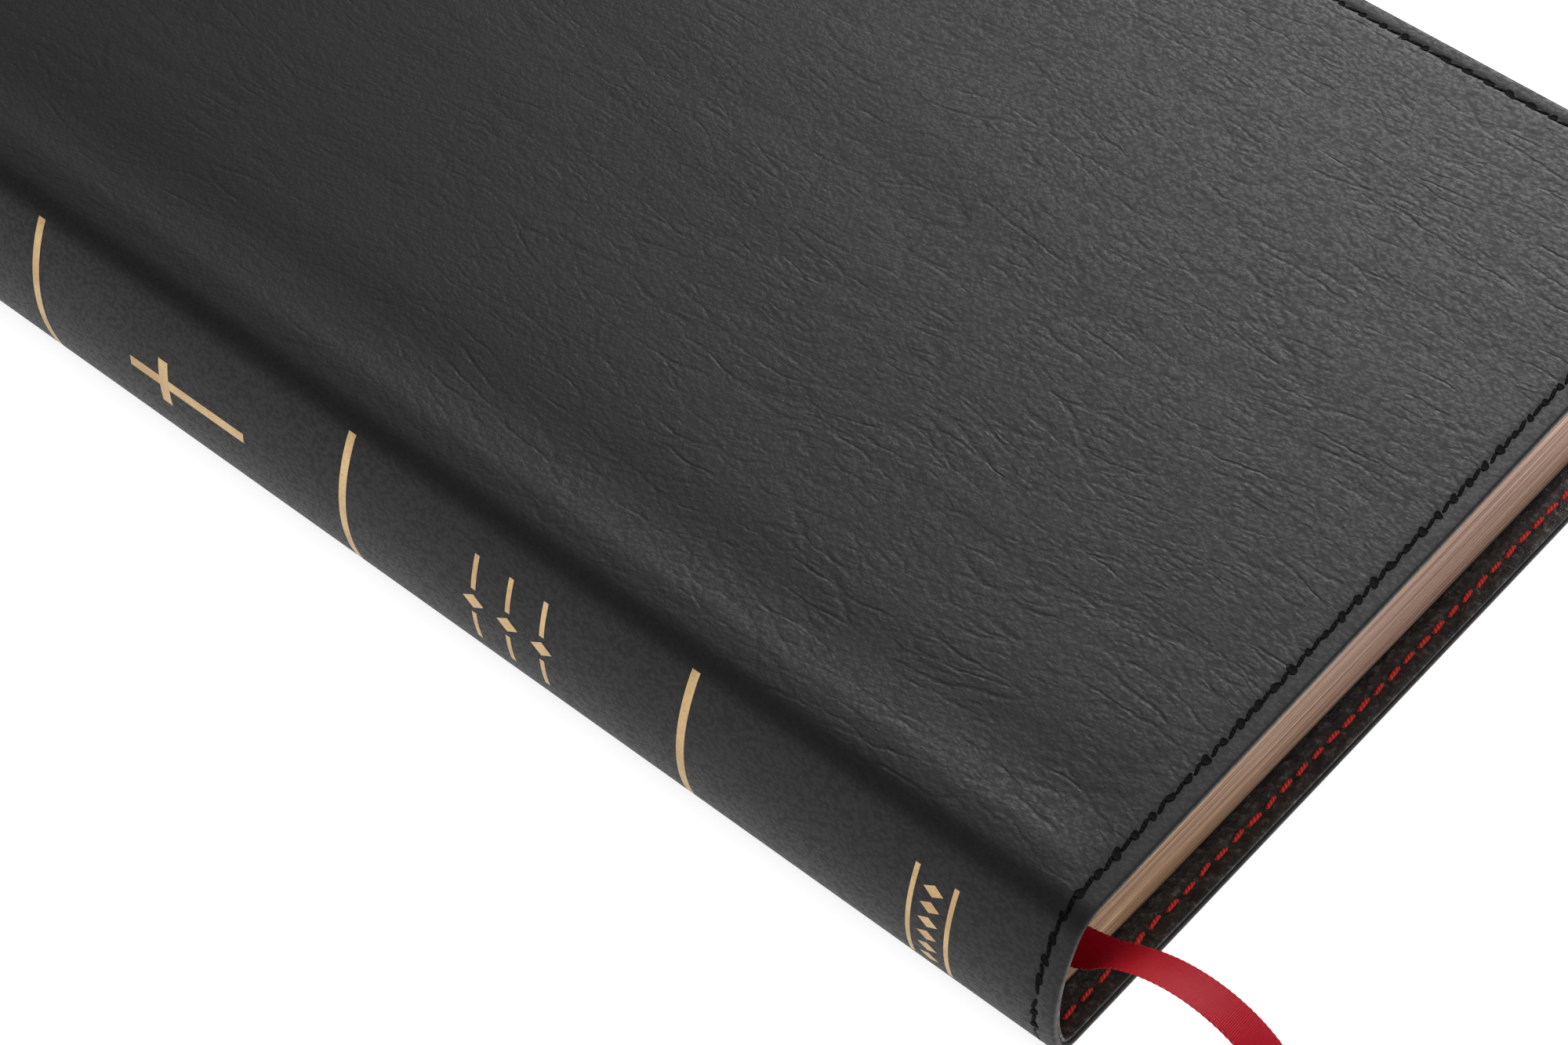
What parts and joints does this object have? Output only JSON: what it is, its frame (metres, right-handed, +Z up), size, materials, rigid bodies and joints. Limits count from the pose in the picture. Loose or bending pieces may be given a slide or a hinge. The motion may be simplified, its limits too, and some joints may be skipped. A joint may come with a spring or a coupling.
{
  "type": "bible",
  "caption": "Flexible leather-look covered holy book, lying closed: stitched cover, gilt-edged sewn leaves, ribbon marker; opens at the ribbon.",
  "frame": {"origin": "centre of the underside of the closed book, without the ribbon's free tail", "axes": "+X from the spine to the fore edge, +Y from tail to head, +Z up through the front cover"},
  "size_m": [0.156, 0.308, 0.036],
  "materials": {
    "leather": "fine-grained black leather-look, soft satin",
    "lining": "grained brown-black lining",
    "card": "matte",
    "outer_thread": "waxed black thread",
    "inner_thread": "waxed red thread",
    "endpaper": "black coated endpaper",
    "leaves": "thin cream paper with gilded edges",
    "mull": "starched open-weave cotton",
    "kraft": "brown kraft paper",
    "ribbon": "red satin",
    "gold_foil": "bright hot-stamped foil"
  },
  "bodies": {
    "back_cover": {"back_cover_skin": "leather", "back_cover_card": "card", "back_cover_lining": "lining", "back_pastedown": "endpaper", "back_flyleaf": "endpaper", "back_stitches_outer": "outer_thread", "back_stitches_inner": "inner_thread", "rear_leaves_1": "leaves", "rear_leaves_2": "leaves", "rear_leaves_3": "leaves", "rear_leaves_4": "leaves", "rear_leaves_5": "leaves", "mull_rear": "mull", "spine_paper_rear": "kraft", "ribbon_anchor": "ribbon", "ribbon_head_fold": "ribbon", "ribbon_between_leaves": "ribbon", "ribbon_tail": "ribbon"},
    "spine": {"spine_skin": "leather", "spine_card": "card", "spine_lining": "lining", "spine_rules": "gold_foil", "spine_ornaments": "gold_foil", "spine_stitches_outer": "outer_thread", "spine_stitches_inner": "inner_thread"},
    "front_cover": {"front_cover_skin": "leather", "front_cover_card": "card", "front_cover_lining": "lining", "front_pastedown": "endpaper", "front_stitches_outer": "outer_thread", "front_stitches_inner": "inner_thread"},
    "front_flyleaf": {"front_flyleaf": "endpaper"},
    "front_leaves_1": {"front_leaves_1": "leaves", "mull_front": "mull", "spine_paper_front": "kraft"},
    "front_leaves_2": {"front_leaves_2": "leaves"},
    "front_leaves_3": {"front_leaves_3": "leaves"},
    "front_leaves_4": {"front_leaves_4": "leaves"}
  },
  "joints": [
    {"name": "spine_hinge", "type": "hinge", "parent": "back_cover", "child": "spine", "pos_m": [-0.0755, 0, 0.0025], "axis": [0, -1, 0], "range_deg": [0, 90]},
    {"name": "front_cover_hinge", "type": "hinge", "parent": "spine", "child": "front_cover", "pos_m": [-0.0755, 0, 0.0265], "axis": [0, -1, 0], "range_deg": [0, 87.4]},
    {"name": "front_flyleaf_turn", "type": "hinge", "parent": "back_cover", "child": "front_flyleaf", "pos_m": [-0.07571, 0, 0.016], "axis": [0, -1, 0], "range_deg": [0, 178.5]},
    {"name": "front_leaves_1_turn", "type": "hinge", "parent": "back_cover", "child": "front_leaves_1", "pos_m": [-0.07571, 0, 0.016], "axis": [0, -1, 0], "range_deg": [0, 178.4]},
    {"name": "front_leaves_2_turn", "type": "hinge", "parent": "back_cover", "child": "front_leaves_2", "pos_m": [-0.07571, 0, 0.016], "axis": [0, -1, 0], "range_deg": [0, 178]},
    {"name": "front_leaves_3_turn", "type": "hinge", "parent": "back_cover", "child": "front_leaves_3", "pos_m": [-0.07571, 0, 0.016], "axis": [0, -1, 0], "range_deg": [0, 177.6]},
    {"name": "front_leaves_4_turn", "type": "hinge", "parent": "back_cover", "child": "front_leaves_4", "pos_m": [-0.07571, 0, 0.016], "axis": [0, -1, 0], "range_deg": [0, 177.2]}
  ],
  "couplings": [
    {"joint": "front_cover_hinge", "follows": "spine_hinge", "ratio": 0.97111},
    {"joint": "front_flyleaf_turn", "follows": "spine_hinge", "ratio": 1.9833},
    {"joint": "front_leaves_1_turn", "follows": "spine_hinge", "ratio": 1.9822},
    {"joint": "front_leaves_2_turn", "follows": "spine_hinge", "ratio": 1.9778},
    {"joint": "front_leaves_3_turn", "follows": "spine_hinge", "ratio": 1.9733},
    {"joint": "front_leaves_4_turn", "follows": "spine_hinge", "ratio": 1.9689}
  ]
}
